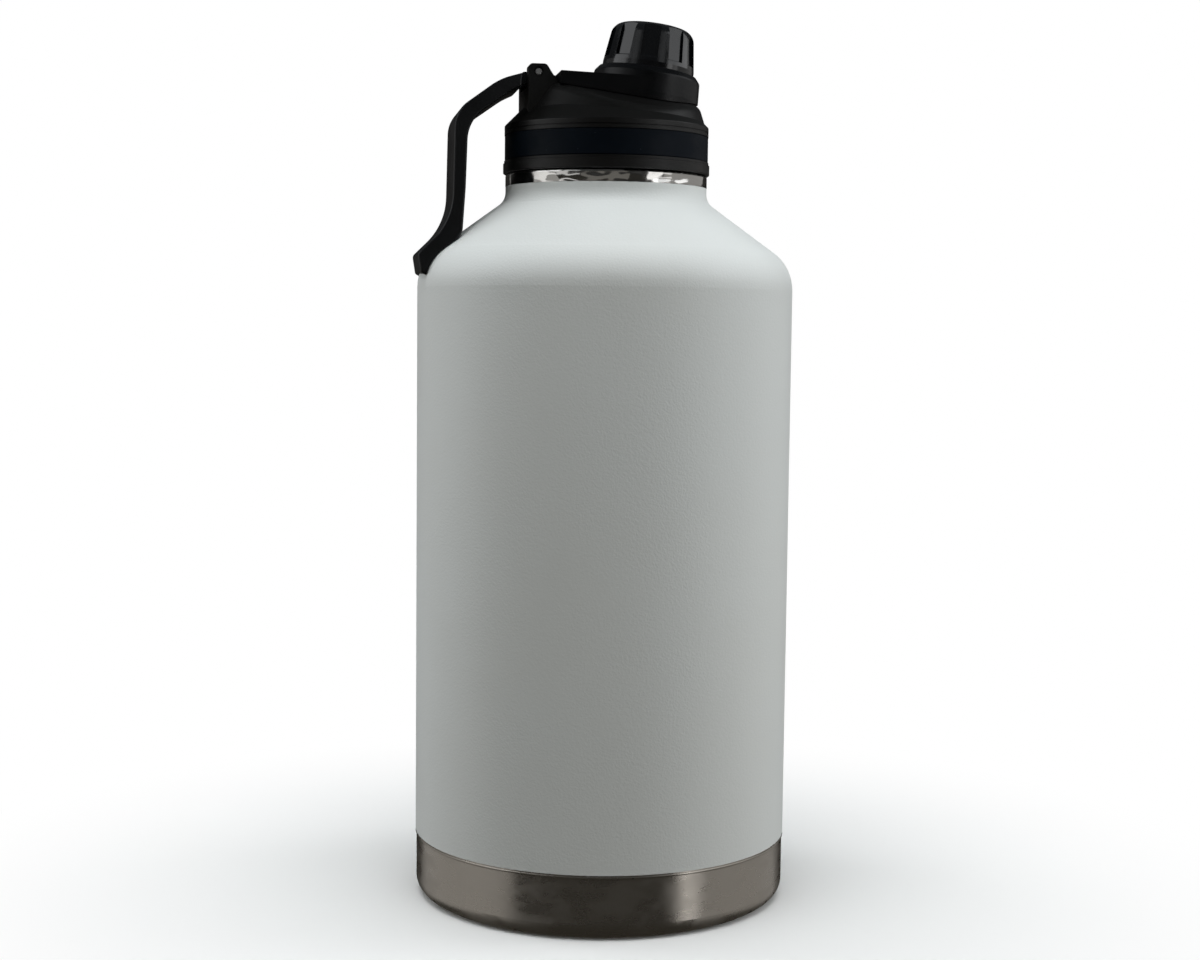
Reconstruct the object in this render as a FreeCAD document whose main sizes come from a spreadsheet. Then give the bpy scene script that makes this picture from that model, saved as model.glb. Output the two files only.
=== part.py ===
import FreeCAD, Part
import math
import os
import re

import Sketcher

# Vacuum-insulated steel jug with a screw lid, a hinged carry handle and a hinged
# chug cap.  Millimetres, +Z up, origin at the centre of the base on the floor.
# The handle stands on the -X side, the spout and its cap lean towards +X.

doc = FreeCAD.newDocument("WaterJug")
dims = doc.addObject("Spreadsheet::Sheet", "Dims")

DIMENSIONS = [
    # bottle
    ("body_radius", 60.5, "painted body, outside"),
    ("shell_wall", 0.9, "outer steel shell with its coat"),
    ("liner_wall", 0.8, "inner steel vessel"),
    ("vacuum_gap", 3.8, "space between the two walls"),
    ("coat_step", 0.3, "bare steel stands this far inside the coat"),
    ("paint_line", 20.35, "height where the bare base band ends"),
    ("base_round", 5.0, "outside corner of the base"),
    ("foot_inner", 46.0, "inner radius of the foot ring"),
    ("base_recess", 3.0, "depth of the hollow under the base"),
    ("rim_overlap", 9.5, "base rim pushed up inside the shell"),
    ("floor_height", 9.0, "underside of the inner vessel"),
    ("floor_round", 10.0, "corner of the inner vessel"),
    ("shoulder_edge", 204.2, "height where wall and shoulder cone would meet"),
    ("shoulder_slope", 36.0, "shoulder cone above horizontal, degrees"),
    ("shoulder_round", 15.0, "round between wall and shoulder"),
    ("neck_radius", 32.4, "painted neck, outside"),
    ("neck_round", 5.0, "hollow round between shoulder and neck"),
    ("paint_top", 229.0, "height where the coat ends at the neck"),
    ("lip_height", 233.0, "top of the bare steel lip"),
    ("mouth_radius", 29.2, "bore of the neck between the threads"),
    ("seal_hole", 1.5, "evacuation hole in the base"),
    ("getter_reach", 25.0, "getter tablet from the axis"),
    ("getter_radius", 5.0, "getter tablet"),
    ("getter_height", 1.4, "getter tablet"),
    # lid thread
    ("lid_pitch", 4.0, "lead of the lid thread"),
    ("lid_turns", 1.25, "turns of each lid thread ridge"),
    ("ridge_depth", 1.0, "height of a thread ridge"),
    ("ridge_base", 2.2, "width of a thread ridge at its root"),
    ("ridge_crest", 1.0, "width of a thread ridge at its crest"),
    ("ridge_sunk", 0.3, "root of a ridge inside the wall that carries it"),
    ("lid_thread", 215.5, "height where the neck ridge starts"),
    # lid
    ("running_gap", 0.3, "clearance between turning threads"),
    ("lid_foot", 233.1, "underside of the lid flange"),
    ("flange_radius", 33.2, "lid flange"),
    ("flange_top", 237.1, "top of the lid flange"),
    ("band_seat", 31.2, "lid under the grip band"),
    ("band_top", 245.3, "top of the grip band"),
    ("band_radius", 32.7, "grip band, outside"),
    ("lid_radius", 32.8, "lid above the grip band"),
    ("chamfer_foot", 248.2, "where the lid chamfer starts"),
    ("chamfer_size", 4.8, "lid chamfer, both legs"),
    ("dome_offset", -8.2, "dome axis from the spout axis"),
    ("dome_radius", 25.8, "flat top of the dome"),
    ("dome_depth", 14.0, "dome down to its foot"),
    ("dome_draft", 25.0, "lean of the dome flank, degrees"),
    ("dome_round", 4.0, "round at the top edge of the dome"),
    ("crown_radius", 68.0, "curve of the deck from front to back"),
    ("crown_side", 45.0, "half width of the cut that makes that curve"),
    ("crown_slope", 21.0, "slope of the deck where that curve ends, degrees"),
    ("hollow_knee", 25.4, "hollow of the lid where its roof starts to close in"),
    ("hollow_roof", 20.0, "flat roof of that hollow"),
    ("plug_wall", 2.6, "wall of the threaded plug"),
    ("plug_floor", 3.0, "floor of the threaded plug"),
    ("gasket_groove", 2.9, "foot of the gasket groove below the flange"),
    ("plug_foot", 211.0, "underside of the plug"),
    ("plug_top", 244.0, "top of the plug inside the lid"),
    ("slip", 0.05, "clearance of glued and pressed pieces"),
    # spout frame
    ("spout_tilt", 7.5, "lean of the spout towards +X, degrees"),
    ("deck_x", 12.1, "spout axis where it leaves the dome, x"),
    ("deck_z", 258.05, "spout axis where it leaves the dome, z"),
    ("spout_bore", 8.5, "drinking bore"),
    ("spout_radius", 10.5, "spout wall, outside"),
    ("spout_height", 12.5, "spout above the dome deck"),
    ("spout_tail", 48.0, "spout below the dome deck"),
    ("spout_flange", 1.6, "flange of the spout on the deck"),
    ("cap_lead", 6.0, "lead of the two-start cap thread"),
    ("cap_starts", 2, "ridges on the spout, and in the cap"),
    ("cap_arc", 120.0, "angle of each cap thread ridge"),
    ("cap_ridge", 0.9, "height of a cap thread ridge"),
    ("cap_thread", 7.8, "height where the spout ridges start"),
    # cap
    ("cap_foot", 0.8, "underside of the cap above the deck"),
    ("cap_radius", 14.75, "cap collar"),
    ("cap_shoulder", 10.0, "height where the cap starts to taper"),
    ("cap_top", 22.7, "top of the cap above the deck"),
    ("cap_crown", 12.95, "cap radius if the taper ran to the top"),
    ("cap_round", 4.0, "round at the top edge of the cap"),
    ("cap_core", 12.45, "bore of the cap for its liner"),
    ("cap_wall", 2.0, "top wall of the cap"),
    ("liner_top", 15.0, "top of the liner above the deck"),
    ("liner_plate", 0.9, "top wall of the liner"),
    ("flute_count", 10, "grip flutes round the cap"),
    ("flute_width", 5.4, "width of a flute"),
    ("flute_depth", 1.1, "depth of a flute"),
    ("flute_foot", 11.2, "height where a flute starts"),
    ("flute_clock", 7.2, "turn of the flutes about the cap axis, degrees"),
    # cap arm
    ("ring_gap", 0.3, "clearance between ring and cap, and ring and deck"),
    ("ring_radius", 17.5, "ring at its foot"),
    ("ring_draft", 3.5, "lean of the ring wall, degrees"),
    ("ring_height", 8.5, "top of the ring above the deck"),
    ("ring_bevel", 1.9, "height of the sloping shoulder of the ring"),
    ("arm_root", 6.6, "start of the plate of the arm from the pin"),
    ("arm_width", 33.0, "width of the arm at that end"),
    ("plate_height", 4.9, "top of that plate at the ring, above the deck"),
    ("plate_slope", 5.2, "slope of that plate down to its start, degrees"),
    ("rib_foot", 5.0, "rib that holds the cap in the ring"),
    ("skirt_depth", 3.6, "the arm before its underside is cut to the curve of the deck"),
    # hinge
    ("pin_x", -23.8, "hinge axis, x"),
    ("pin_z", 264.0, "hinge axis, z"),
    ("pin_radius", 1.1, "steel hinge pin"),
    ("pin_fit", 0.06, "running clearance on the pin"),
    ("hub_radius", 2.4, "knuckles on the pin"),
    ("tower_width", 26.0, "hinge tower across the ears"),
    ("tower_back", 3.2, "back of the tower from the pin"),
    ("tower_front", 10.4, "foot of the tower's sloping front from the pin"),
    ("ear_front", 5.4, "front of the space between the ears from the pin"),
    ("ear_floor", 4.4, "floor of that space below the pin"),
    ("pin_inset", 0.5, "ends of the pin inside the faces of the ears"),
    ("ear_gap", 16.0, "space between the ears"),
    ("arm_knuckle", 5.8, "width of the arm knuckle"),
    ("knuckle_gap", 0.3, "side clearance between knuckles"),
    # handle
    ("web_start", 5.1, "start of the full width of the handle from the pin"),
    ("strap_width", 28.0, "handle strap"),
    ("strap_round", 0.7, "rounded edges of the strap"),
    ("strap_reach", 50.0, "outer face of the upright part from the axis"),
    ("strap_thickness", 4.2, "upright part of the strap"),
    ("strap_lean", 0.7, "outward lean of the upright part at its foot"),
    ("strap_top", 251.0, "height where the top and the upright part would meet"),
    ("strap_knee", 217.3, "height where the upright part and the foot would meet"),
    ("foot_reach", 61.4, "tip of the handle from the axis"),
    ("foot_tip", 206.8, "upper corner of the handle tip"),
    ("foot_low", 201.0, "lower corner of the handle tip"),
    ("heel_height", 214.0, "inner corner above the foot"),
]

for row, (alias, number, note) in enumerate(DIMENSIONS, start=1):
    dims.set(f"A{row}", note)
    dims.set(f"B{row}", str(number))
    dims.setAlias(f"B{row}", alias)
doc.recompute()

ALIASES = {alias for alias, number, note in DIMENSIONS}
V = FreeCAD.Vector
Z_AXIS = V(0, 0, 1)
Y_AXIS = V(0, 1, 0)
X_AXIS = V(1, 0, 0)


def bound(text):
    """Turn 'body_radius - 2' into an expression on the sheet."""
    def cell(match):
        word = match.group(0)
        return f"Dims.{word}" if word in ALIASES else word
    return re.sub(r"[a-z][a-z_]*", cell, str(text))


def value(text):
    return float(dims.evalExpression(bound(text)))


# ---------------------------------------------------------------- frames

def deck_frame(turn=0.0):
    """Frame of the leaning spout: origin on the dome deck, Z along the spout."""
    tilt = FreeCAD.Rotation(Y_AXIS, value("spout_tilt"))
    spin = FreeCAD.Rotation(Z_AXIS, turn)
    return FreeCAD.Placement(V(value("deck_x"), 0, value("deck_z")), tilt * spin)


def shifted(x, y, z):
    return FreeCAD.Placement(V(x, y, z), FreeCAD.Rotation())


def along_y(x, z, length):
    """Placement of a cylinder of this length, centred on y = 0 and lying along Y."""
    return FreeCAD.Placement(V(x, length / 2, z), FreeCAD.Rotation(X_AXIS, 90))


def above_crown(gap, level):
    """Outline across the deck: everything from its curve, raised by gap, to a level."""
    peak = f"(crown_radius + {gap}) / cos(crown_slope) - crown_radius"
    side = f"{peak} - crown_side * tan(crown_slope)"
    return [
        ("-crown_side", level),
        ("-crown_side", side),
        ("0", peak, f"crown_radius + {gap}"),
        ("crown_side", side),
        ("crown_side", level),
    ]


def in_deck(x, z):
    """Coordinates of a point of the symmetry plane in the deck frame."""
    point = deck_frame().inverse().multVec(V(x, 0, z))
    return point.x, point.z


# ---------------------------------------------------------------- sketches

def new_body(name, placement=None):
    body = doc.addObject("PartDesign::Body", name)
    body.Label = name
    body.Placement = placement or shifted(0, 0, 0)
    return body


def new_sketch(body, name, role, offset=None):
    sketch = body.newObject("Sketcher::SketchObject", name)
    plane = [f for f in body.Origin.OriginFeatures if f.Role == role][0]
    sketch.AttachmentSupport = (plane, [""])
    sketch.MapMode = "FlatFace"
    if offset:
        sketch.AttachmentOffset = offset
    return sketch


def pin_down(sketch, element, point, across, up):
    """Bind one point of a sketch to two expressions, measured from its origin."""
    for kind, text, axis in (("DistanceX", across, -2), ("DistanceY", up, -1)):
        number = value(text)
        if abs(number) < 1e-9:
            sketch.addConstraint(Sketcher.Constraint("PointOnObject", element, point, axis))
            continue
        index = sketch.addConstraint(Sketcher.Constraint(kind, -1, 1, element, point, number))
        sketch.setExpression(f"Constraints[{index}]", bound(text))


def rounded(before, corner, after, radius):
    """Tangent points, centre and order of the arc that rounds a corner."""
    back = (before - corner).normalize()
    ahead = (after - corner).normalize()
    half = back.getAngle(ahead) / 2
    start = corner + back * (radius / math.tan(half))
    end = corner + ahead * (radius / math.tan(half))
    centre = corner + (back + ahead).normalize() * (radius / math.sin(half))
    turns_left = (start - centre).cross(end - centre).z > 0
    return start, end, centre, turns_left


def outline(sketch, corners):
    """Draw (across, up[, round]) corners as lines with tangent rounds between them."""
    places = [V(value(c[0]), value(c[1]), 0) for c in corners]
    count = len(corners)
    starts = list(places)
    ends = list(places)
    arcs = {}
    for i, corner in enumerate(corners):
        if len(corner) < 3:
            continue
        radius = value(corner[2])
        arc = rounded(places[i - 1], places[i], places[(i + 1) % count], radius)
        ends[i], starts[i] = arc[0], arc[1]
        arcs[i] = arc
    lines = []
    for i in range(count):
        line = Part.LineSegment(starts[i], ends[(i + 1) % count])
        lines.append(sketch.addGeometry(line))
    for i, corner in enumerate(corners):
        before = lines[i - 1]
        after = lines[i]
        if i in arcs:
            start, end, centre, turns_left = arcs[i]
            radius = value(corner[2])
            first, last = (start, end) if turns_left else (end, start)
            low = math.atan2(first.y - centre.y, first.x - centre.x)
            high = math.atan2(last.y - centre.y, last.x - centre.x)
            circle = Part.Circle(centre, Z_AXIS, radius)
            arc = sketch.addGeometry(Part.ArcOfCircle(circle, low, high))
            at_start, at_end = (1, 2) if turns_left else (2, 1)
            sketch.addConstraint(Sketcher.Constraint("Tangent", before, 2, arc, at_start))
            sketch.addConstraint(Sketcher.Constraint("Tangent", arc, at_end, after, 1))
            size = sketch.addConstraint(Sketcher.Constraint("Radius", arc, radius))
            sketch.setExpression(f"Constraints[{size}]", bound(corner[2]))
            point = sketch.addGeometry(Part.Point(places[i]), True)
            sketch.addConstraint(Sketcher.Constraint("PointOnObject", point, 1, before))
            sketch.addConstraint(Sketcher.Constraint("PointOnObject", point, 1, after))
            pin_down(sketch, point, 1, corner[0], corner[1])
        else:
            sketch.addConstraint(Sketcher.Constraint("Coincident", before, 2, after, 1))
            pin_down(sketch, after, 1, corner[0], corner[1])
    return sketch


# ---------------------------------------------------------------- features

def revolve(body, name, corners, kind="Revolution", role="XZ_Plane"):
    """Turn an outline of the XZ plane about the body's Z axis."""
    sketch = outline(new_sketch(body, name + "_outline", role), corners)
    feature = body.newObject("PartDesign::" + kind, name)
    feature.Profile = (sketch, [""])
    feature.ReferenceAxis = (sketch, ["V_Axis"])
    feature.Angle = 360
    sketch.Visibility = False
    return feature


def slab(body, name, corners, width, kind="Pad"):
    """Raise or cut an outline of the XZ plane, centred on y = 0."""
    sketch = outline(new_sketch(body, name + "_outline", "XZ_Plane"), corners)
    feature = body.newObject("PartDesign::" + kind, name)
    feature.Profile = (sketch, [""])
    feature.SideType = "Symmetric"
    feature.setExpression("Length", bound(width))
    return feature


def through_cut(body, name, role, corners, offset=None):
    """Cut an outline right through the body, both ways from its plane."""
    sketch = outline(new_sketch(body, name + "_outline", role, offset), corners)
    feature = body.newObject("PartDesign::Pocket", name)
    feature.Profile = (sketch, [""])
    feature.SideType = "Symmetric"
    feature.Type = "ThroughAll"
    return feature


def primitive(body, kind, name, placement, **sizes):
    feature = body.newObject("PartDesign::" + kind, name)
    feature.Placement = placement
    for key, text in sizes.items():
        feature.setExpression(key, bound(text))
    return feature


def ridge(body, name, root, crest, foot, lead, rise):
    """Helical ridge; root and crest are (radius, width) pairs."""
    sketch = new_sketch(body, name + "_section", "XZ_Plane")
    outline(sketch, [
        (root[0], f"{foot} - {root[1]} / 2"),
        (crest[0], f"{foot} - {crest[1]} / 2"),
        (crest[0], f"{foot} + {crest[1]} / 2"),
        (root[0], f"{foot} + {root[1]} / 2"),
    ])
    helix = body.newObject("PartDesign::AdditiveHelix", name)
    helix.Profile = (sketch, [""])
    helix.ReferenceAxis = (sketch, ["V_Axis"])
    helix.Mode = "pitch-height-angle"
    helix.setExpression("Pitch", bound(lead))
    helix.setExpression("Height", bound(rise))
    helix.LeftHanded = False
    return helix


def ring_of(body, feature, count):
    """Repeat a feature evenly round the body's Z axis."""
    pattern = body.newObject("PartDesign::PolarPattern", feature.Name + "_ring")
    pattern.Originals = [feature]
    axis = [f for f in body.Origin.OriginFeatures if f.Role == "Z_Axis"][0]
    pattern.Axis = (axis, [""])
    pattern.Angle = 360
    pattern.setExpression("Occurrences", bound(count))
    body.Tip = pattern


def edge_names(feature, wanted):
    """Names of the edges of a feature for which wanted(edge) holds."""
    edges = enumerate(feature.Shape.Edges, start=1)
    return [f"Edge{i}" for i, edge in edges if wanted(edge)]


def fillet(body, name, base, names, radius):
    feature = body.newObject("PartDesign::Fillet", name)
    feature.Base = (base, names)
    feature.setExpression("Radius", bound(radius))
    return feature


# ---------------------------------------------------------------- bottle

def cone_height(radius, inset="0"):
    """Height of the shoulder cone at a radius, for a surface set in by inset."""
    rise = f"(body_radius - ({radius})) * tan(shoulder_slope)"
    return f"shoulder_edge + {rise} - ({inset}) / cos(shoulder_slope)"


def make_outer_shell():
    body = new_body("outer_shell")
    inner_wall = "body_radius - shell_wall"
    inner_neck = "neck_radius - shell_wall"
    revolve(body, "shell_wall_turned", [
        ("body_radius", "paint_line"),
        ("body_radius", cone_height("body_radius"), "shoulder_round"),
        ("neck_radius", cone_height("neck_radius"), "neck_round"),
        ("neck_radius", "paint_top"),
        (inner_neck, "paint_top"),
        (inner_neck, cone_height(inner_neck, "shell_wall"), "neck_round + shell_wall"),
        (inner_wall, cone_height(inner_wall, "shell_wall"), "shoulder_round - shell_wall"),
        (inner_wall, "paint_line"),
    ])
    return body


def make_base_cup():
    body = new_body("base_cup")
    wall = "body_radius - coat_step"
    rim = "body_radius - shell_wall - slip * 2"
    recess_radius = "foot_inner - base_recess"
    revolve(body, "cup", [
        ("seal_hole", "base_recess"),
        (recess_radius, "base_recess", "2"),
        ("foot_inner", "0", "2"),
        (wall, "0", "base_round"),
        (wall, "paint_line - slip"),
        (rim, "paint_line - slip"),
        (rim, "paint_line + rim_overlap"),
        (f"{rim} - shell_wall", "paint_line + rim_overlap"),
        (f"{rim} - shell_wall", "paint_line - 1.5"),
        (f"{wall} - shell_wall", "paint_line - 2.2"),
        (f"{wall} - shell_wall", "shell_wall", "base_round - shell_wall"),
        ("foot_inner + shell_wall / 2", "shell_wall", "2"),
        (f"{recess_radius} + shell_wall / 2", "base_recess + shell_wall", "2"),
        ("seal_hole", "base_recess + shell_wall"),
    ])
    return body


def make_inner_vessel():
    body = new_body("inner_vessel")
    outside = "body_radius - shell_wall - vacuum_gap"
    inside = f"{outside} - liner_wall"
    neck_outside = "mouth_radius + liner_wall"
    gap = "shell_wall + vacuum_gap"
    inset = f"{gap} + liner_wall"
    revolve(body, "vessel", [
        ("0", "floor_height"),
        (outside, "floor_height", "floor_round"),
        (outside, cone_height(outside, gap), "shoulder_round - 3"),
        (neck_outside, cone_height(neck_outside, gap), "neck_round"),
        (neck_outside, "paint_top + slip"),
        ("neck_radius + slip", "paint_top + slip"),
        ("neck_radius + slip", "lip_height", "0.8"),
        ("mouth_radius", "lip_height", "0.6"),
        ("mouth_radius", cone_height("mouth_radius", inset), "neck_round + liner_wall"),
        (inside, cone_height(inside, inset), "shoulder_round - 3 - liner_wall"),
        (inside, "floor_height + liner_wall", "floor_round - liner_wall"),
        ("0", "floor_height + liner_wall"),
    ])
    root = ("mouth_radius + ridge_sunk", "ridge_base")
    crest = ("mouth_radius - ridge_depth", "ridge_crest")
    ridge(body, "neck_ridge", root, crest, "lid_thread", "lid_pitch", "lid_pitch * lid_turns")
    return body


def make_vacuum_plug():
    body = new_body("vacuum_plug")
    revolve(body, "bead", [
        ("0", "base_recess - 0.8"),
        ("seal_hole * 2", "base_recess - 0.8", "0.5"),
        ("seal_hole * 2", "base_recess - slip"),
        ("seal_hole - slip", "base_recess - slip"),
        ("seal_hole - slip", "base_recess + shell_wall"),
        ("0", "base_recess + shell_wall"),
    ])
    return body


def make_getter():
    seat = value("base_recess + shell_wall + slip")
    body = new_body("getter", shifted(value("getter_reach"), 0, seat))
    revolve(body, "tablet", [
        ("0", "0"),
        ("getter_radius", "0"),
        ("getter_radius", "getter_height", "0.4"),
        ("0", "getter_height"),
    ])
    return body


# ---------------------------------------------------------------- lid

def spout_hole(body, foot, clearance):
    """Bore the body along the spout axis, from this height to well above the deck."""
    place = deck_frame().multiply(shifted(0, 0, value(foot)))
    primitive(body, "SubtractiveCylinder", "spout_hole", place,
              Radius=f"spout_radius + {clearance}", Height=f"15 - ({foot})")


def make_lid_cover():
    body = new_body("lid_cover")
    plug_seat = "mouth_radius - ridge_depth - running_gap + slip"
    # dome: a cone about an axis that leans with the spout, flat on top
    depth = value("dome_depth")
    dome_foot = deck_frame().multiply(shifted(value("dome_offset"), 0, -depth))
    dome = primitive(body, "AdditiveCone", "dome", dome_foot,
                     Radius1="dome_radius + dome_depth * tan(dome_draft)",
                     Radius2="dome_radius", Height="dome_depth")
    across = FreeCAD.Placement(
        V(0, value("deck_z"), value("deck_x")), FreeCAD.Rotation(X_AXIS, value("spout_tilt")))
    crown = through_cut(body, "crown", "YZ_Plane", above_crown("0", "20"), across)
    doc.recompute()
    frame = deck_frame().inverse()
    dome_foot_height = -depth + 0.01

    def on_deck(edge):
        return all(frame.multVec(p).z > dome_foot_height for p in edge.discretize(8))

    fillet(body, "deck_edge", crown, edge_names(crown, on_deck), "dome_round")
    half = value("body_radius")
    below = shifted(-half, -half, value("chamfer_foot - body_radius"))
    primitive(body, "SubtractiveBox", "dome_trim", below,
              Length="body_radius * 2", Width="body_radius * 2", Height="body_radius")
    revolve(body, "skirt", [
        ("0", "lid_foot"),
        ("flange_radius", "lid_foot", "0.4"),
        ("flange_radius", "flange_top - 0.9"),
        ("flange_radius - 0.3", "flange_top - 0.75"),
        ("flange_radius - 0.3", "flange_top"),
        ("band_seat", "flange_top"),
        ("band_seat", "band_top"),
        ("lid_radius", "band_top"),
        ("lid_radius", "band_top + 1"),
        ("lid_radius - 0.25", "band_top + 1.1"),
        ("lid_radius - 0.25", "band_top + 1.3"),
        ("lid_radius", "band_top + 1.4"),
        ("lid_radius", "chamfer_foot", "0.5"),
        ("lid_radius - chamfer_size", "chamfer_foot + chamfer_size"),
        ("0", "chamfer_foot + chamfer_size"),
    ])
    # hinge tower: one block, then the space between its ears
    slab(body, "tower", [
        ("pin_x - tower_back", "chamfer_foot + 2.3"),
        ("pin_x - tower_back", "pin_z + hub_radius", "1.4"),
        ("pin_x + 2.5", "pin_z + hub_radius", "1.4"),
        ("pin_x + tower_front", "pin_z - 9.9"),
        ("pin_x + tower_front", "chamfer_foot + 2.3"),
    ], "tower_width")
    deck_at = "deck_z - ({0} - deck_x) * tan(spout_tilt)".format
    slab(body, "ear_space", [
        ("pin_x - tower_back - 3", "pin_z - ear_floor"),
        ("pin_x + ear_front", "pin_z - ear_floor"),
        ("pin_x + ear_front", deck_at("(pin_x + ear_front)")),
        ("pin_x + tower_front", deck_at("(pin_x + tower_front)")),
        ("pin_x + tower_front", "pin_z + hub_radius * 2"),
        ("pin_x - tower_back - 3", "pin_z + hub_radius * 2"),
    ], "ear_gap", "Pocket")
    # hollow for the plug and its insulation
    revolve(body, "hollow", [
        ("0", "lid_foot - 1"),
        (plug_seat, "lid_foot - 1"),
        (plug_seat, "plug_top + slip"),
        ("hollow_knee", "plug_top + 2.4"),
        ("hollow_roof", "chamfer_foot + 5.8"),
        ("0", "chamfer_foot + 5.8"),
    ], "Groove")
    spout_hole(body, "-15", "slip")
    width = value("tower_width")
    x, z = value("pin_x"), value("pin_z")
    primitive(body, "SubtractiveCylinder", "pin_hole", along_y(x, z, width + 2),
              Radius="pin_radius + slip / 2", Height="tower_width + 2")
    for side, name in ((-1, "recess_front"), (1, "recess_back")):
        start = side * (width + 1) / 2 + 0.5 - side * value("pin_inset")
        place = FreeCAD.Placement(V(x, start, z), FreeCAD.Rotation(X_AXIS, 90))
        primitive(body, "SubtractiveCylinder", name, place, Radius="pin_radius * 1.5", Height="1")
    return body


def make_grip_band():
    body = new_body("grip_band")
    revolve(body, "band", [
        ("band_seat + slip", "flange_top + slip"),
        ("band_radius", "flange_top + slip", "0.35"),
        ("band_radius", "band_top - slip", "0.35"),
        ("band_seat + slip", "band_top - slip"),
    ])
    return body


def make_lid_plug():
    body = new_body("lid_plug")
    wall = "mouth_radius - ridge_depth - running_gap"
    revolve(body, "plug", [
        ("0", "plug_foot"),
        (wall, "plug_foot", "1"),
        (wall, "lid_foot - gasket_groove"),
        (f"{wall} - 1", "lid_foot - gasket_groove"),
        (f"{wall} - 1", "lid_foot - 0.5"),
        (wall, "lid_foot - 0.5"),
        (wall, "plug_top"),
        (f"{wall} - plug_wall", "plug_top"),
        (f"{wall} - plug_wall", "plug_foot + plug_floor", "1"),
        ("0", "plug_foot + plug_floor"),
    ])
    root = (f"{wall} - ridge_sunk", "ridge_base")
    crest = (f"{wall} + ridge_depth", "ridge_crest")
    foot = "lid_thread + lid_pitch / 2"
    ridge(body, "plug_ridge", root, crest, foot, "lid_pitch", "lid_pitch * lid_turns")
    spout_hole(body, "-spout_tail - 12", "slip")
    return body


def make_lid_foam():
    body = new_body("lid_foam")
    wall = "mouth_radius - ridge_depth - running_gap - plug_wall - slip * 2"
    revolve(body, "foam", [
        ("0", "plug_foot + plug_floor + 0.1"),
        (wall, "plug_foot + plug_floor + 0.1", "1"),
        (wall, "plug_top + 2.2"),
        ("hollow_roof - 0.2", "chamfer_foot + 5.6"),
        ("0", "chamfer_foot + 5.6"),
    ])
    spout_hole(body, "-spout_tail - 7", "slip * 2")
    return body


def make_lid_gasket():
    body = new_body("lid_gasket")
    wall = "mouth_radius - ridge_depth - running_gap"
    revolve(body, "ring", [
        (f"{wall} - 0.85", "lid_foot - gasket_groove + 0.1"),
        ("mouth_radius - slip * 2", "lid_foot - gasket_groove + 0.1", "0.5"),
        ("mouth_radius - slip * 2", "lid_foot - 1.0", "0.5"),
        (f"{wall} - 0.85", "lid_foot - 1.0"),
    ])
    return body


def make_spout():
    body = new_body("spout", deck_frame())
    revolve(body, "tube", [
        ("spout_bore", "-spout_tail"),
        ("spout_radius", "-spout_tail"),
        ("spout_radius", "0.02"),
        ("spout_radius + spout_flange", "0.02"),
        ("spout_radius + spout_flange", "0.5"),
        ("spout_radius", "0.5"),
        ("spout_radius", "spout_height", "0.7"),
        ("spout_bore", "spout_height", "0.7"),
    ])
    root = ("spout_radius - ridge_sunk", "cap_ridge * 1.7")
    crest = ("spout_radius + cap_ridge", "cap_ridge * 0.8")
    rise = "cap_lead * cap_arc / 360"
    start = ridge(body, "spout_ridge", root, crest, "cap_thread", "cap_lead", rise)
    ring_of(body, start, "cap_starts")
    return body


def make_hinge_pin():
    length = "tower_width - pin_inset * 2"
    body = new_body("hinge_pin", along_y(value("pin_x"), value("pin_z"), value(length)))
    revolve(body, "pin", [
        ("0", "0"),
        ("pin_radius", "0", "0.3"),
        ("pin_radius", length, "0.3"),
        ("0", length),
    ])
    return body


# ---------------------------------------------------------------- handle

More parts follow.
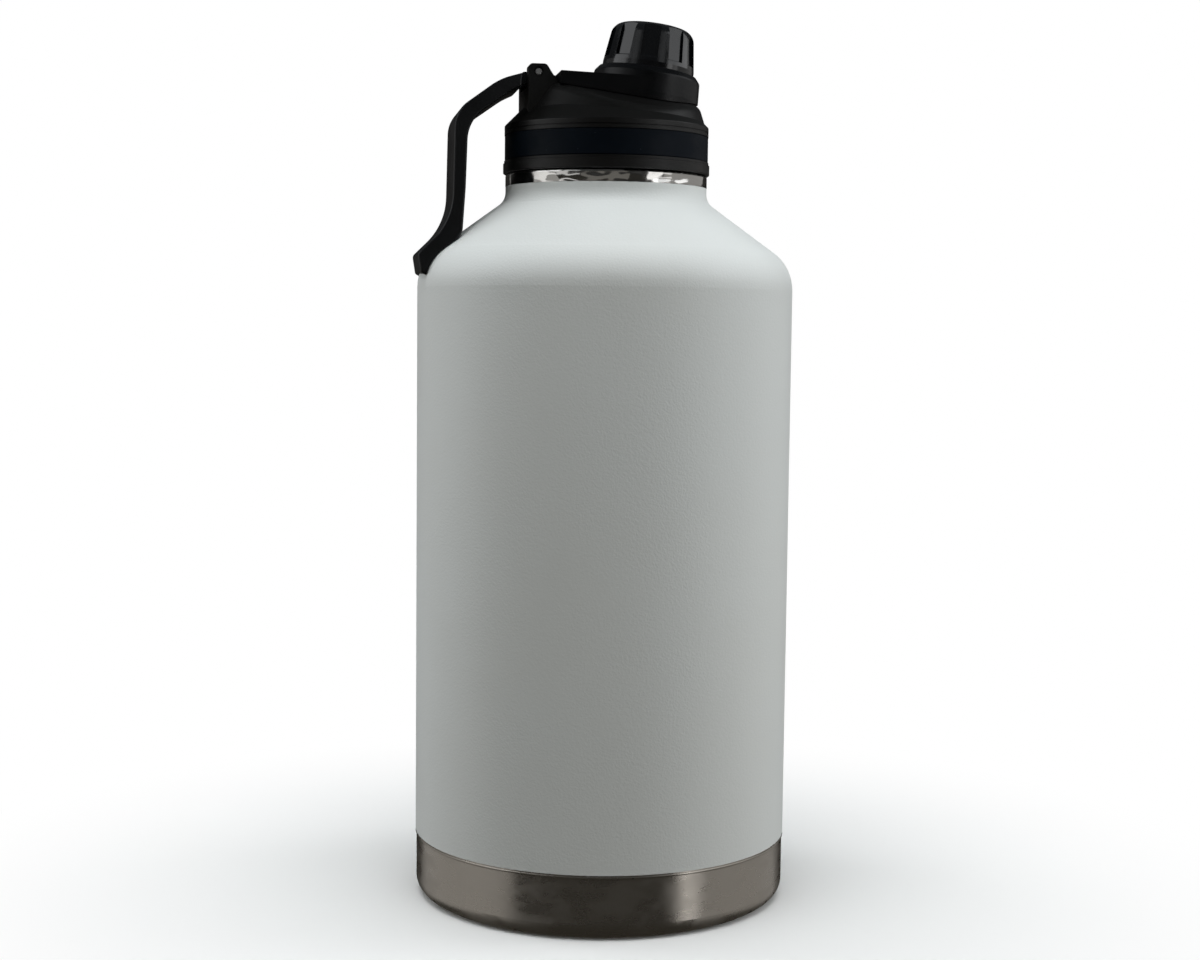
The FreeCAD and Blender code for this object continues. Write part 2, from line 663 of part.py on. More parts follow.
def make_handle():
    body = new_body("handle")
    inner = "-strap_reach + strap_thickness"
    strap = slab(body, "strap", [
        ("pin_x - web_start", "pin_z - 0.7"),
        ("pin_x - 12.1", "pin_z - 2.7", "20"),
        ("-strap_reach", "strap_top", "10"),
        ("-strap_reach - strap_lean", "strap_knee", "21"),
        ("-foot_reach", "foot_tip", "1.8"),
        ("-foot_reach + 0.9", "foot_low", "1"),
        ("-foot_reach + 8", "foot_low - 4"),
        ("-strap_reach - strap_lean", "heel_height - 6.4"),
        (inner + " - strap_lean - 0.9", "heel_height", "4"),
        (inner + " - strap_lean", "strap_knee + 10", "20"),
        (inner, "strap_top - 2.8", "12"),
        ("pin_x - 9", "pin_z - 6.6", "20"),
        ("pin_x - 5.4", "pin_z - 4.9"),
    ], "strap_width")
    doc.recompute()
    side = value("strap_width") / 2

    def on_side(edge):
        return all(abs(abs(p.y) - side) < 0.01 for p in edge.discretize(5))

    fillet(body, "strap_edges", strap, edge_names(strap, on_side), "strap_round")
    slab(body, "prongs", [
        ("pin_x", "pin_z - hub_radius + 0.3"),
        ("pin_x", "pin_z + hub_radius - 0.5"),
        ("pin_x - 6.2", "pin_z - 1.1"),
        ("pin_x - 6.2", "pin_z - 4.0"),
    ], "ear_gap - knuckle_gap * 2")
    width = value("ear_gap - knuckle_gap * 2")
    primitive(body, "AdditiveCylinder", "hub", along_y(value("pin_x"), value("pin_z"), width),
              Radius="hub_radius", Height="ear_gap - knuckle_gap * 2")
    slab(body, "arm_space", [
        ("pin_x - web_start - 0.1", "pin_z - hub_radius * 2"),
        ("pin_x + hub_radius * 2", "pin_z - hub_radius * 2"),
        ("pin_x + hub_radius * 2", "pin_z + hub_radius * 2"),
        ("pin_x - web_start - 0.1", "pin_z + hub_radius * 2"),
    ], "arm_knuckle + knuckle_gap * 2", "Pocket")
    place = along_y(value("pin_x"), value("pin_z"), width + 4)
    primitive(body, "SubtractiveCylinder", "pin_bore", place,
              Radius="pin_radius + pin_fit", Height="ear_gap - knuckle_gap * 2 + 4")
    # saddle: the foot is hollowed to rest on the shoulder
    wall = "body_radius + ring_gap"
    neck = "neck_radius + 2"
    revolve(body, "saddle", [
        (wall, "150"),
        (wall, cone_height(wall, "-ring_gap"), "shoulder_round + ring_gap"),
        (neck, cone_height(neck, "-ring_gap")),
        (neck, "150"),
    ], "Groove")
    return body


# ---------------------------------------------------------------- cap arm and cap

def make_cap_arm():
    body = new_body("cap_arm", deck_frame())
    pin_across, pin_up = in_deck(value("pin_x"), value("pin_z"))
    near = pin_across + value("arm_root")
    slab(body, "plate", [
        (str(near), "-skirt_depth"),
        ("0", "-skirt_depth"),
        ("0", "plate_height"),
        (str(near), f"plate_height + tan(plate_slope) * {near}"),
    ], "ring_radius * 2 - 0.4")
    for side in (-1, 1):
        name = "taper_front" if side < 0 else "taper_back"
        sketch = new_sketch(body, name + "_outline", "XY_Plane")
        outline(sketch, [
            (str(near - 1), f"{side} * (arm_width / 2)"),
            ("0", f"{side} * (ring_radius - 0.2)"),
            ("0", f"{side} * 30"),
            (str(near - 1), f"{side} * 30"),
        ])
        cut = body.newObject("PartDesign::Pocket", name)
        cut.Profile = (sketch, [""])
        cut.SideType = "Symmetric"
        cut.Type = "ThroughAll"
    below = shifted(0, 0, -value("skirt_depth") - 1)
    primitive(body, "SubtractiveCylinder", "ring_bore", below,
              Radius="cap_radius + ring_gap", Height="25")
    bore = "cap_radius + ring_gap"
    rib = "cap_radius - 0.45"
    shoulder = "ring_radius - (ring_height - ring_bevel) * tan(ring_draft)"
    revolve(body, "ring", [
        (bore, "-skirt_depth"),
        ("ring_radius", "-skirt_depth"),
        ("ring_radius", "ring_gap"),
        (shoulder, "ring_height - ring_bevel", "1.2"),
        (bore + " + 0.5", "ring_height", "0.4"),
        (bore, "ring_height - 0.4"),
        (bore, "rib_foot + 1.5"),
        (rib, "rib_foot + 1.2"),
        (rib, "rib_foot"),
        (bore, "rib_foot - 0.3"),
    ])
    through_cut(body, "underside", "YZ_Plane", above_crown("ring_gap", "-20"))
    slab(body, "prong", [
        (str(pin_across), f"{pin_up} - hub_radius + 0.5"),
        (str(near + 0.5), "ring_gap + 0.1"),
        (str(near + 0.5), "2.1"),
        (str(pin_across), f"{pin_up} + hub_radius - 0.6"),
    ], "arm_knuckle")
    width = value("arm_knuckle")
    primitive(body, "AdditiveCylinder", "hub", along_y(pin_across, pin_up, width),
              Radius="hub_radius", Height="arm_knuckle")
    primitive(body, "SubtractiveCylinder", "pin_bore", along_y(pin_across, pin_up, width + 2),
              Radius="pin_radius + pin_fit", Height="arm_knuckle + 2")
    return body


def make_spout_cap():
    body = new_body("spout_cap", deck_frame(value("flute_clock")))
    groove = "cap_radius - 0.75"
    revolve(body, "cap_shell", [
        ("cap_core", "cap_foot"),
        ("cap_radius", "cap_foot"),
        ("cap_radius", "1.4"),
        (groove, "1.8"),
        (groove, "6.5"),
        ("cap_radius", "7.0"),
        ("cap_radius", "cap_shoulder"),
        ("cap_crown", "cap_top", "cap_round"),
        ("0", "cap_top"),
        ("0", "cap_top - cap_wall"),
        ("cap_core - 1.6", "cap_top - cap_wall", "2"),
        ("cap_core - 1.6", "liner_top + 1.6"),
        ("cap_core", "liner_top + slip"),
    ])
    lean = "(cap_radius - cap_crown) / (cap_top - cap_shoulder)"
    foot = f"cap_radius - (flute_foot - cap_shoulder) * {lean} - flute_depth"
    head = f"cap_radius - (cap_top + 2 - cap_shoulder) * {lean} - flute_depth"
    flute = slab(body, "flute", [
        (foot, "flute_foot", "0.6"),
        (head, "cap_top + 2"),
        ("cap_radius + 2", "cap_top + 2"),
        ("cap_radius + 2", "flute_foot"),
    ], "flute_width", "Pocket")
    ring_of(body, flute, "flute_count")
    return body


def make_cap_liner():
    body = new_body("cap_liner", deck_frame())
    inside = "spout_radius + cap_ridge + running_gap"
    revolve(body, "cup", [
        (inside, "cap_foot + 0.2"),
        ("cap_core - slip", "cap_foot + 0.2"),
        ("cap_core - slip", "liner_top"),
        ("0", "liner_top"),
        ("0", "liner_top - liner_plate"),
        (inside, "liner_top - liner_plate"),
    ])
    root = (f"{inside} + ridge_sunk", "cap_ridge * 1.7")
    crest = ("spout_radius + running_gap", "cap_ridge * 0.8")
    foot = "cap_thread - cap_lead / 4"
    rise = "cap_lead * cap_arc / 360"
    start = ridge(body, "liner_ridge", root, crest, foot, "cap_lead", rise)
    ring_of(body, start, "cap_starts")
    return body


def make_cap_gasket():
    body = new_body("cap_gasket", deck_frame())
    revolve(body, "disc", [
        ("0", "spout_height + slip"),
        ("spout_radius - slip", "spout_height + slip", "0.4"),
        ("spout_radius - slip", "liner_top - liner_plate - slip", "0.4"),
        ("0", "liner_top - liner_plate - slip"),
    ])
    return body


parts = [
    make_outer_shell(),
    make_base_cup(),
    make_inner_vessel(),
    make_vacuum_plug(),
    make_getter(),
    make_lid_cover(),
    make_grip_band(),
    make_lid_plug(),
    make_lid_foam(),
    make_lid_gasket(),
    make_spout(),
    make_hinge_pin(),
    make_handle(),
    make_cap_arm(),
    make_spout_cap(),
    make_cap_liner(),
    make_cap_gasket(),
]
doc.recompute()

# ---------------------------------------------------------------- checks and files

for thing in doc.Objects:
    if "Invalid" in thing.State or "Error" in thing.State:
        raise RuntimeError(f"{thing.Label} failed: {thing.State}")
    base = getattr(thing, "BaseFeature", None)
    cuts = thing.TypeId.endswith(("Pocket", "Groove")) or "Subtractive" in thing.TypeId
    if cuts and base and thing.Shape.Volume >= base.Shape.Volume:
        raise RuntimeError(f"{thing.Label} cuts nothing")
for part in parts:
    if part.Shape.isNull() or not part.Shape.isValid():
        raise RuntimeError(f"{part.Label} has no valid shape")
    if len(part.Shape.Solids) != 1:
        raise RuntimeError(f"{part.Label} has {len(part.Shape.Solids)} solids")

os.makedirs("parts", exist_ok=True)
for part in parts:
    part.Shape.exportStep(os.path.join("parts", part.Label + ".step"))
    box = part.Shape.BoundBox
    print(f"{part.Label:14s} {part.Shape.Volume:10.1f} mm3  "
          f"x {box.XMin:7.2f} {box.XMax:7.2f}  y {box.YMin:7.2f} {box.YMax:7.2f}  "
          f"z {box.ZMin:7.2f} {box.ZMax:7.2f}")
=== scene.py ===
import math

import bmesh
import bpy
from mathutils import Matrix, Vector


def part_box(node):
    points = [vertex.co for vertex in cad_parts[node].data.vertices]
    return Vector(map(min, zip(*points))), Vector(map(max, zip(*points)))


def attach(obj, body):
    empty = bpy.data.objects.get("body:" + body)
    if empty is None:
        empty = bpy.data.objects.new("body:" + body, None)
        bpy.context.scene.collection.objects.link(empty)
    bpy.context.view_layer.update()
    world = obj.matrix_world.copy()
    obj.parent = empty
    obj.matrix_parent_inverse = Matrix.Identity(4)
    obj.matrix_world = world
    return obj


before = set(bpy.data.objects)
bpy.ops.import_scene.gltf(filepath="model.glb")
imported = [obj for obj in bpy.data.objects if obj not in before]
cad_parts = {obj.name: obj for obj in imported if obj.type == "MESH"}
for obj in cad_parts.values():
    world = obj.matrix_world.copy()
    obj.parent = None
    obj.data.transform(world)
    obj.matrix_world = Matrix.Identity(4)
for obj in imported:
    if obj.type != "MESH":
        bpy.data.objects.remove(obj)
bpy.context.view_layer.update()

# A white powder-coated steel jug with a black screw lid, carry handle and spout cap.
# Metres, +Z up, origin at the centre of the base: the same frame as the CAD.

MM = 0.001


# ---------------------------------------------------------------- camera

CAMERA_REACH = 0.6214
CAMERA_HEIGHT = 0.1854
# angles in radians: the turn round the jug, the tilt down and the roll
CAMERA_TURN = math.radians(9.3)
CAMERA_TILT = 0.0815
CAMERA_ROLL = 0.011
LENS = 57.25
SENSOR = 36.0
SHIFT_X = -0.0023

AHEAD = Vector((math.sin(CAMERA_TURN), math.cos(CAMERA_TURN), 0))
RIGHT = Vector((math.cos(CAMERA_TURN), -math.sin(CAMERA_TURN), 0))


def make_camera():
    """The camera stands in front of the jug, a little to the handle's side, and looks slightly down."""
    look = AHEAD * math.cos(CAMERA_TILT) - Vector((0, 0, math.sin(CAMERA_TILT)))
    level_up = RIGHT.cross(look)
    right = RIGHT * math.cos(CAMERA_ROLL) + level_up * math.sin(CAMERA_ROLL)
    up = level_up * math.cos(CAMERA_ROLL) - RIGHT * math.sin(CAMERA_ROLL)
    data = bpy.data.cameras.new("camera")
    data.lens = LENS
    data.sensor_width = SENSOR
    data.shift_x = SHIFT_X
    camera = bpy.data.objects.new("camera", data)
    bpy.context.scene.collection.objects.link(camera)
    place = -AHEAD * CAMERA_REACH + Vector((0, 0, CAMERA_HEIGHT))
    matrix = camera.matrix_world.copy()
    for row in range(3):
        matrix[row][0] = right[row]
        matrix[row][1] = up[row]
        matrix[row][2] = -look[row]
        matrix[row][3] = place[row]
    camera.matrix_world = matrix
    bpy.context.scene.camera = camera


# ---------------------------------------------------------------- materials


# sockets of a Mix node set to colours: the two colours that it takes, and its result
MIX_FIRST = 6
MIX_SECOND = 7
MIX_RESULT = 2

# how soft the edge of a speck is, as a part of its radius
SPECK_EDGE = 0.6


class Look:
    """One procedural material: a Principled shader with grain, wear and relief wired into it."""

    def __init__(self, name, colour, roughness, sockets=None):
        self.material = bpy.data.materials.new(name)
        self.material.use_nodes = True
        self.tree = self.material.node_tree
        self.shader = self.tree.nodes["Principled BSDF"]
        self.shader.inputs["Base Color"].default_value = (*colour, 1)
        self.shader.inputs["Roughness"].default_value = roughness
        for socket, value in (sockets or {}).items():
            self.shader.inputs[socket].default_value = value
        self.place = self.node("ShaderNodeTexCoord").outputs["Object"]
        self.base = colour
        self.relief_chain = None

    def node(self, kind, **settings):
        made = self.tree.nodes.new(kind)
        for name, value in settings.items():
            setattr(made, name, value)
        return made

    def join(self, output, target, socket):
        self.tree.links.new(output, target.inputs[socket])

    def noise(self, scale, detail=2.0, stretch=(1, 1, 1), shift=0.0):
        """Noise of about 1/scale metres, drawn out along the axes where stretch is small."""
        mapping = self.node("ShaderNodeMapping")
        mapping.inputs["Scale"].default_value = stretch
        mapping.inputs["Location"].default_value = (shift, shift, shift)
        texture = self.node("ShaderNodeTexNoise")
        texture.inputs["Scale"].default_value = scale
        texture.inputs["Detail"].default_value = detail
        self.join(self.place, mapping, "Vector")
        self.join(mapping.outputs["Vector"], texture, "Vector")
        return texture.outputs["Fac"]

    def specks(self, scale, radius):
        """1 inside small scattered dots, 0 elsewhere."""
        texture = self.node("ShaderNodeTexVoronoi")
        texture.inputs["Scale"].default_value = scale
        self.join(self.place, texture, "Vector")
        return self.spread(texture.outputs["Distance"], radius, radius * SPECK_EDGE, 0, 1)

    def spread(self, value, low, high, new_low, new_high):
        """Value from low to high becomes new_low to new_high, and is held beyond them."""
        change = self.node("ShaderNodeMapRange", interpolation_type="SMOOTHSTEP")
        for socket, number in zip(
            ("From Min", "From Max", "To Min", "To Max"), (low, high, new_low, new_high)
        ):
            change.inputs[socket].default_value = number
        self.join(value, change, "Value")
        return change.outputs["Result"]

    def times(self, first, second):
        product = self.node("ShaderNodeMath", operation="MULTIPLY")
        self.join(first, product, 0)
        self.join(second, product, 1)
        return product.outputs["Value"]

    def tint(self, amount, colour):
        """The base colour turns towards another where amount is 1."""
        shade = self.node("ShaderNodeMix", data_type="RGBA")
        first, second = shade.inputs[MIX_FIRST], shade.inputs[MIX_SECOND]
        socket = self.shader.inputs["Base Color"]
        if socket.links:
            self.tree.links.new(socket.links[0].from_socket, first)
        else:
            first.default_value = (*self.base, 1)
        second.default_value = (*colour, 1)
        self.join(amount, shade, 0)
        self.join(shade.outputs[MIX_RESULT], self.shader, "Base Color")

    def polish(self, amount, low, high):
        """Roughness from low, where amount is 0, to high, where it is 1."""
        self.join(self.spread(amount, 0, 1, low, high), self.shader, "Roughness")

    def relief(self, value, depth):
        """Bumps of that depth in metres, on top of any relief so far."""
        bump = self.node("ShaderNodeBump")
        bump.inputs["Strength"].default_value = 1.0
        bump.inputs["Distance"].default_value = depth
        self.join(value, bump, "Height")
        if self.relief_chain is not None:
            self.join(self.relief_chain, bump, "Normal")
        self.relief_chain = bump.outputs["Normal"]
        self.join(self.relief_chain, self.shader, "Normal")


def powder_coat():
    """White powder coat: fine orange peel, slow patches of shade and gloss, a few specks of dust."""
    look = Look("powder_coat_look", (0.76, 0.79, 0.79), 0.5, {"Specular IOR Level": 0.45})
    look.relief(look.noise(1350, 2.0), 0.00006)
    look.relief(look.noise(3400, 1.0, shift=3), 0.000015)
    cloud = look.noise(9, 3.0, shift=7)
    look.tint(look.spread(cloud, 0.35, 0.7, 0, 0.5), (0.72, 0.735, 0.72))
    look.polish(look.noise(40, 4.0, shift=2), 0.42, 0.6)
    dust = look.times(look.specks(26, 0.013), look.spread(look.noise(14), 0.52, 0.56, 0, 0.8))
    look.tint(dust, (0.16, 0.16, 0.15))
    return look.material


def steel(name, colour, low, high, line_depth, anisotropy, wave=0.0):
    """Stainless steel: fine lines round the axis, smudges, patches of gloss, and waves if rolled."""
    brushed = {"Metallic": 1.0, "Anisotropic": anisotropy, "Anisotropic Rotation": 0.25}
    look = Look(name, colour, low, brushed)
    around = look.node("ShaderNodeTangent", direction_type="RADIAL", axis="Z")
    look.join(around.outputs["Tangent"], look.shader, "Tangent")
    if wave:
        look.relief(look.noise(70, 2.0, stretch=(1, 1, 2), shift=8), wave)
    lines = look.noise(1, 4.0, stretch=(14, 14, 5200))
    look.relief(lines, line_depth)
    smudge = look.noise(90, 3.0, stretch=(1, 1, 2.2), shift=5)
    look.polish(look.spread(smudge, 0.35, 0.7, 0, 1), low, high)
    look.tint(look.spread(smudge, 0.45, 0.8, 0, 0.12), tuple(0.82 * c for c in colour))
    return look.material


def moulded(name, colour, low, high, grain_scale, grain_depth, shine):
    """Moulded plastic: spark-eroded grain, patches of gloss, a few pale scuffs."""
    look = Look(name, colour, low, {"Specular IOR Level": shine})
    look.relief(look.noise(grain_scale, 2.0), grain_depth)
    look.relief(look.noise(240, 2.0, shift=4), grain_depth * 0.8)
    patch = look.noise(70, 4.0, shift=9)
    look.polish(look.spread(patch, 0.35, 0.65, 0, 1), low, high)
    rub = look.spread(look.noise(150, 5.0, stretch=(1, 1, 0.5), shift=1), 0.62, 0.78, 0, 0.3)
    look.tint(rub, tuple(2.0 * c + 0.003 for c in colour))
    return look.material


def rubber(name, colour, low, high, dust):
    """Smooth silicone with a faint haze and specks of dust on it."""
    look = Look(name, colour, low, {"Specular IOR Level": 0.1})
    look.relief(look.noise(420, 3.0), 0.00004)
    haze = look.noise(60, 4.0, stretch=(1, 1, 2), shift=6)
    look.polish(look.spread(haze, 0.35, 0.65, 0, 1), low, high)
    look.tint(look.spread(haze, 0.5, 0.8, 0, 0.5), tuple(1.6 * c + 0.002 for c in colour))
    look.tint(look.spread(look.specks(420, 0.07), 0, 1, 0, dust), (0.10, 0.12, 0.14))
    return look.material


def foam():
    """Blown foam with open cells."""
    look = Look("foam_look", (0.85, 0.84, 0.8), 0.9)
    cells = look.node("ShaderNodeTexVoronoi")
    cells.inputs["Scale"].default_value = 900
    look.join(look.place, cells, "Vector")
    look.relief(cells.outputs["Distance"], 0.0003)
    look.tint(look.spread(look.noise(120, 3.0), 0.4, 0.7, 0, 0.4), (0.74, 0.72, 0.66))
    return look.material


def fused_glass():
    """Grey sealing glass, fused to a bead."""
    look = Look("seal_glass_look", (0.10, 0.11, 0.12), 0.12, {"Specular IOR Level": 0.6})
    look.relief(look.noise(700, 2.0), 0.00005)
    look.tint(look.spread(look.noise(900, 2.0, shift=2), 0.45, 0.7, 0, 0.6), (0.2, 0.2, 0.21))
    return look.material


def sintered():
    """Dull pressed metal powder."""
    look = Look("getter_metal_look", (0.42, 0.42, 0.43), 0.62, {"Metallic": 1.0})
    look.relief(look.noise(3000, 3.0), 0.00008)
    look.tint(look.spread(look.noise(500, 2.0, shift=2), 0.4, 0.7, 0, 0.6), (0.3, 0.3, 0.31))
    return look.material


# colour, lowest and highest roughness, depth of the brushed lines, anisotropy, depth of waves
STEELS = {
    "brushed_steel": ((0.47, 0.435, 0.39), 0.26, 0.38, 0.00002, 0.8),
    "polished_steel": ((0.62, 0.61, 0.59), 0.08, 0.16, 0.000002, 0.2, 0.0012),
    "pin_steel": ((0.45, 0.45, 0.45), 0.45, 0.55, 0.000006, 0.0),
}
# colour, lowest and highest roughness, scale and depth of the grain, shine
PLASTICS = {
    "lid_plastic": ((0.0019, 0.0018, 0.0017), 0.36, 0.48, 3200, 0.00003, 0.34),
    "arm_plastic": ((0.0004, 0.0006, 0.0012), 0.26, 0.36, 3200, 0.00003, 0.26),
    "handle_plastic": ((0.0022, 0.0026, 0.0036), 0.3, 0.42, 3000, 0.00003, 0.4),
    "cap_plastic": ((0.0004, 0.0008, 0.0018), 0.14, 0.22, 2600, 0.00001, 0.7),
    "plug_plastic": ((0.03, 0.031, 0.033), 0.4, 0.5, 2600, 0.00003, 0.4),
    "spout_plastic": ((0.026, 0.027, 0.03), 0.36, 0.48, 2600, 0.00003, 0.4),
}
# colour, lowest and highest roughness, how much dust shows
RUBBERS = {
    "band_rubber": ((0.0006, 0.0026, 0.0058), 0.45, 0.6, 0.3),
    "silicone": ((0.58, 0.58, 0.56), 0.4, 0.55, 0.0),
}


def make_looks():
    """Every look by the name of its material slot, and the smoother plastic of the cap arm."""
    looks = {
        "powder_coat": powder_coat(),
        "foam": foam(),
        "seal_glass": fused_glass(),
        "getter_metal": sintered(),
    }
    for maker, kinds in ((steel, STEELS), (moulded, PLASTICS), (rubber, RUBBERS)):
        for slot, values in kinds.items():
            looks[slot] = maker(f"{slot}_look", *values)
    return looks


def dress_cad(looks):
    """Each carried-over CAD node gets the look of its material slot, and the cap arm its own."""
    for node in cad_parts.values():
        for held in node.material_slots:
            held.material = looks[held.material.name]
    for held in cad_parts["cap_arm"].material_slots:
        held.material = looks["arm_plastic"]


# ---------------------------------------------------------------- pieces


def link_mesh(name, work):
    """A shaded-smooth object from a bmesh, linked to the scene."""
    mesh = bpy.data.meshes.new(name)
    work.to_mesh(mesh)
    work.free()
    for face in mesh.polygons:
        face.use_smooth = True
    made = bpy.data.objects.new(name, mesh)
    bpy.context.scene.collection.objects.link(made)
    return made


def lathe(name, outline, steps):
    """A closed ring: the outline, a closed list of (radius, height), turned round the Z axis."""
    work = bmesh.new()
    rings = []
    for step in range(steps):
        turn = 2 * math.pi * step / steps
        ring = [
            work.verts.new((radius * math.cos(turn), radius * math.sin(turn), height))
            for radius, height in outline
        ]
        rings.append(ring)
    count = len(outline)
    for step, ring in enumerate(rings):
        beside = rings[(step + 1) % steps]
        for point in range(count):
            after = (point + 1) % count
            work.faces.new((ring[point], beside[point], beside[after], ring[after]))
    bmesh.ops.recalc_face_normals(work, faces=work.faces)
    return link_mesh(name, work)


def bead(radius, height, half_width, half_height, points=14):
    """Outline of a rounded ring, as (radius, height) points round its middle."""
    turns = [2 * math.pi * point / points for point in range(points)]
    return [(radius + half_width * math.cos(t), height + half_height * math.sin(t)) for t in turns]


LIP_HALF_WIDTH = 0.25 * MM
LIP_HALF_HEIGHT = 0.45 * MM
RIM_HALF_WIDTH = 0.22 * MM
RIM_HALF_HEIGHT = 0.38 * MM
RIM_DROP = 0.75 * MM
RING_STEPS = 256


def make_coat_edge(looks):
    """The coat ends in a soft rolled lip, and a thin bright bead of bare steel stands under it."""
    low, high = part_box("outer_shell")
    radius = high[0]
    line = low[2]
    lip = bead(radius - LIP_HALF_WIDTH, line + LIP_HALF_HEIGHT, LIP_HALF_WIDTH, LIP_HALF_HEIGHT)
    rim = bead(radius - RIM_HALF_WIDTH, line - RIM_DROP, RIM_HALF_WIDTH, RIM_HALF_HEIGHT)
    for name, outline, slot in (
        ("coat_lip", lip, "powder_coat"),
        ("steel_rim", rim, "brushed_steel"),
    ):
        ring = lathe(name, outline, RING_STEPS)
        ring.data.materials.append(looks[slot])
        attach(ring, "bottle")


CAP_BEVEL = 0.4 * MM
CAP_BEVEL_STEPS = 2
# edges that turn by less than this are part of a smooth surface and stay as they are
SHARP_EDGE = math.radians(38)


def soften_cap():
    """Moulded edges are never sharp: a small bevel catches the light along the flutes."""
    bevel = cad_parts["spout_cap"].modifiers.new("soft_edges", "BEVEL")
    bevel.width = CAP_BEVEL
    bevel.segments = CAP_BEVEL_STEPS
    bevel.limit_method = "ANGLE"
    bevel.angle_limit = SHARP_EDGE
    bevel.harden_normals = True


# ---------------------------------------------------------------- studio

FLOOR_RADIUS = 3.0
FLOOR_RINGS = 40
FLOOR_STEPS = 96
FLOOR_WHITE = 0.93
# the floor turns into pure white between these distances from the jug's axis
FADE_STARTS = 0.062
FADE_ENDS = 0.24


def make_floor():
    """A pale floor that fades into the white of the backdrop away from the jug."""
    work = bmesh.new()
    centre = work.verts.new((0, 0, 0))
    rings = []
    for ring in range(1, FLOOR_RINGS + 1):
        radius = FLOOR_RADIUS * (ring / FLOOR_RINGS) ** 2
        turns = [2 * math.pi * step / FLOOR_STEPS for step in range(FLOOR_STEPS)]
        rings.append([work.verts.new((radius * math.cos(t), radius * math.sin(t), 0)) for t in turns])
    for step in range(FLOOR_STEPS):
        after = (step + 1) % FLOOR_STEPS
        work.faces.new((centre, rings[0][step], rings[0][after]))
        for inner, outer in zip(rings, rings[1:]):
            work.faces.new((inner[step], outer[step], outer[after], inner[after]))
    floor = link_mesh("floor", work)
    look = Look("floor_look", (FLOOR_WHITE,) * 3, 0.8, {"Specular IOR Level": 0.1})
    look.relief(look.noise(900, 2.0), 0.00002)
    away = look.node("ShaderNodeVectorMath", operation="LENGTH")
    look.join(look.place, away, 0)
    fade = look.spread(away.outputs["Value"], FADE_STARTS, FADE_ENDS, 0, 1)
    glow = look.node("ShaderNodeEmission")
    glow.inputs["Strength"].default_value = 1.0
    mixed = look.node("ShaderNodeMixShader")
    look.join(fade, mixed, 0)
    look.join(look.shader.outputs["BSDF"], mixed, 1)
    look.join(glow.outputs["Emission"], mixed, 2)
    output = look.tree.nodes["Material Output"]
    look.join(mixed.outputs["Shader"], output, "Surface")
    floor.data.materials.append(look.material)
    floor.visible_glossy = False
    floor.visible_diffuse = False


# name, what it lights, degrees to the camera's right, degrees up, width, height, watts, colour;
# "coat" is light without a reflection, "gloss" is a reflection without light, "both" is an ordinary lamp
SOFTBOXES = (
    ("side_right", "coat", 98, 4, 0.5, 1.0, 5.8, (0.985, 1.0, 1.0)),
    ("side_left", "coat", -110, 3, 0.5, 1.0, 4.8, (0.97, 0.99, 1.0)),
    ("above", "coat", -10, 76, 1.0, 0.9, 9.5, (0.99, 1.0, 0.995)),
    ("ceiling", "gloss", -10, 76, 1.0, 0.9, 4.6, (0.97, 1.0, 1.0)),
    ("high_left", "gloss", -78, 32, 0.8, 0.6, 1.9, (0.96, 0.98, 1.0)),
    ("high_right", "gloss", 84, 30, 1.3, 0.6, 2.8, (0.96, 0.98, 1.0)),
    ("brow_left", "gloss", -38, 28, 0.24, 0.4, 0.16, (0.96, 0.98, 1.0)),
    ("brow_right", "gloss", 36, 28, 0.24, 0.4, 0.12, (0.96, 0.98, 1.0)),
    ("card_left", "gloss", -64, 7, 1.6, 0.16, 0.55, (1.0, 1.0, 1.0)),
    ("card_right", "gloss", 69, 7, 0.3, 0.16, 0.1, (1.0, 1.0, 1.0)),
    ("card_middle", "gloss", 0, 5, 1.0, 0.24, 0.11, (1.0, 0.97, 0.9)),
    ("front_right", "both", 55, -2, 0.26, 0.9, 1.05, (1.0, 1.0, 1.0)),
    ("wall_right", "gloss", 104, -8, 1.7, 1.2, 2.0, (1.0, 0.99, 0.97)),
    ("wall_left", "gloss", -96, -8, 2.0, 1.2, 2.6, (1.0, 0.99, 0.97)),
)
LIGHT_DISTANCE = 1.1
AIM_HEIGHT = 0.16


def make_lights():
    """Soft boxes stand round the jug at one distance and face it."""
    for name, lit, azimuth, rise, width, height, watts, colour in SOFTBOXES:
        data = bpy.data.lights.new(name, "AREA")
        data.shape = "RECTANGLE"
        data.size = width
        data.size_y = height
        data.energy = watts
        data.color = colour
        light = bpy.data.objects.new(name, data)
        bpy.context.scene.collection.objects.link(light)
        turn = math.radians(azimuth)
        lift = math.radians(rise)
        level = -AHEAD * math.cos(turn) + RIGHT * math.sin(turn)
        way = level * math.cos(lift) + Vector((0, 0, math.sin(lift)))
        light.location = Vector((0, 0, AIM_HEIGHT)) + way * LIGHT_DISTANCE
        light.rotation_mode = "QUATERNION"
        light.rotation_quaternion = (-way).to_track_quat("-Z", "Y")
        light.visible_camera = False
        light.visible_glossy = lit != "coat"
        light.visible_diffuse = lit != "gloss"


# strength of the room as light, and as seen in a reflection
ROOM_LIGHT = 1.0
ROOM_REFLECTED = 0.24
# colours of the room: position from straight down at 0 to straight up at 1
ROOM_SHADES = (
    (0.3, (0.175, 0.162, 0.135)),
    (0.55, (0.10, 0.096, 0.09)),
    (0.85, (0.34, 0.365, 0.37)),
)


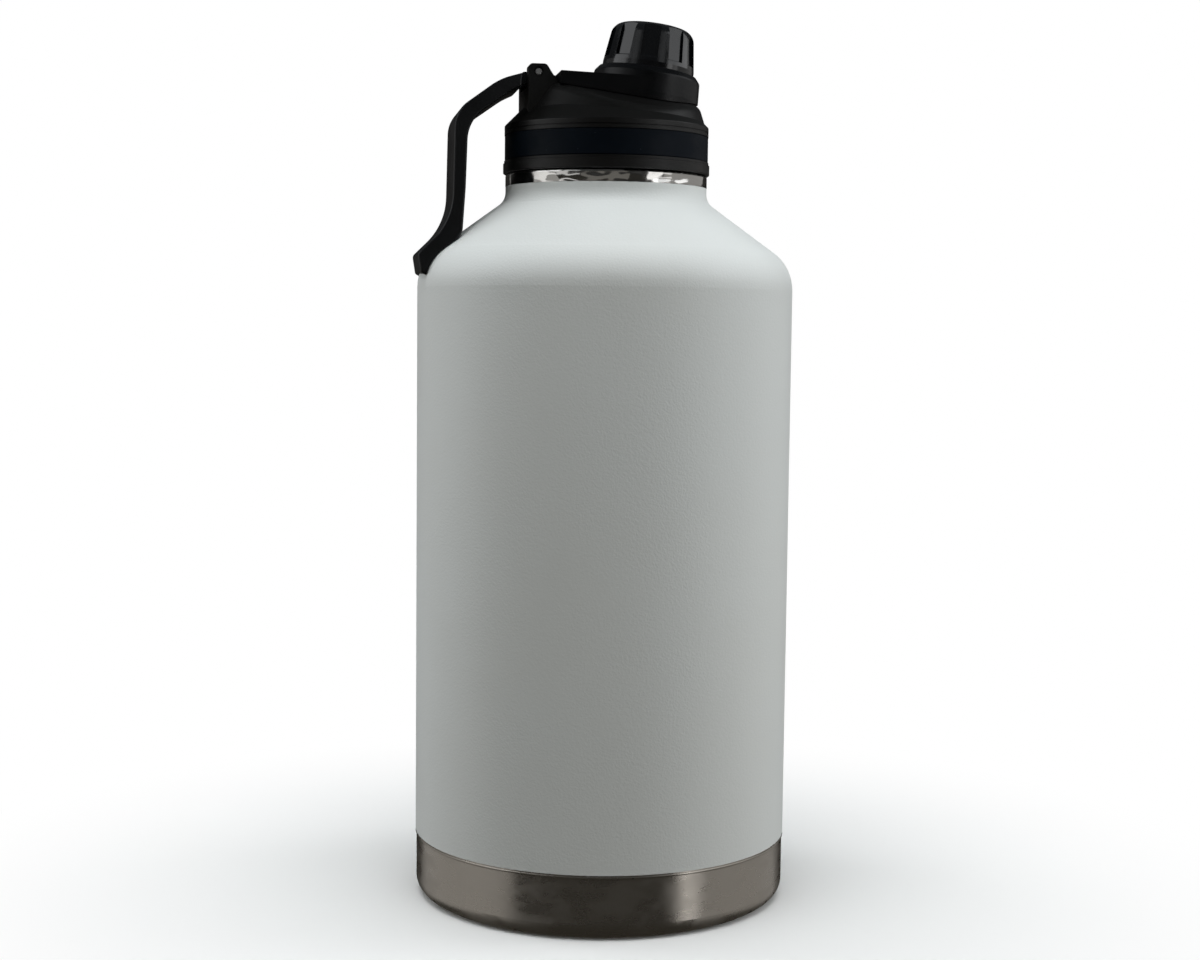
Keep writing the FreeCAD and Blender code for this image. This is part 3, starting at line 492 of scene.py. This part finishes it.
def make_world():
    """White where the camera sees it, and a dim room around the jug for everything else."""
    world = bpy.data.worlds.new("studio")
    world.use_nodes = True
    tree = world.node_tree

    facing = tree.nodes.new("ShaderNodeTexCoord")
    split = tree.nodes.new("ShaderNodeSeparateXYZ")
    lift = tree.nodes.new("ShaderNodeMapRange")
    lift.inputs["From Min"].default_value = -1.0
    lift.inputs["From Max"].default_value = 1.0
    shade = tree.nodes.new("ShaderNodeValToRGB")
    (low, low_colour), (level, level_colour), (high, high_colour) = ROOM_SHADES
    stops = shade.color_ramp.elements
    stops[0].color = (*low_colour, 1)
    stops[0].position = low
    stops[1].color = (*high_colour, 1)
    stops[1].position = high
    stops.new(level).color = (*level_colour, 1)
    room = tree.nodes["Background"]
    tree.links.new(facing.outputs["Generated"], split.inputs["Vector"])
    tree.links.new(split.outputs["Z"], lift.inputs["Value"])
    tree.links.new(lift.outputs["Result"], shade.inputs["Fac"])
    tree.links.new(shade.outputs["Color"], room.inputs["Color"])

    path = tree.nodes.new("ShaderNodeLightPath")
    dimmed = tree.nodes.new("ShaderNodeMapRange")
    dimmed.inputs["To Min"].default_value = ROOM_LIGHT
    dimmed.inputs["To Max"].default_value = ROOM_REFLECTED
    tree.links.new(path.outputs["Is Glossy Ray"], dimmed.inputs["Value"])
    tree.links.new(dimmed.outputs["Result"], room.inputs["Strength"])

    white = tree.nodes.new("ShaderNodeBackground")
    white.inputs["Color"].default_value = (1, 1, 1, 1)
    seen = tree.nodes.new("ShaderNodeMixShader")
    tree.links.new(path.outputs["Is Camera Ray"], seen.inputs["Fac"])
    tree.links.new(room.outputs["Background"], seen.inputs[1])
    tree.links.new(white.outputs["Background"], seen.inputs[2])
    tree.links.new(seen.outputs["Shader"], tree.nodes["World Output"].inputs["Surface"])
    bpy.context.scene.world = world


make_camera()
LOOKS = make_looks()
dress_cad(LOOKS)
make_coat_edge(LOOKS)
soften_cap()
make_floor()
make_lights()
make_world()
bpy.context.scene.view_settings.view_transform = "Standard"
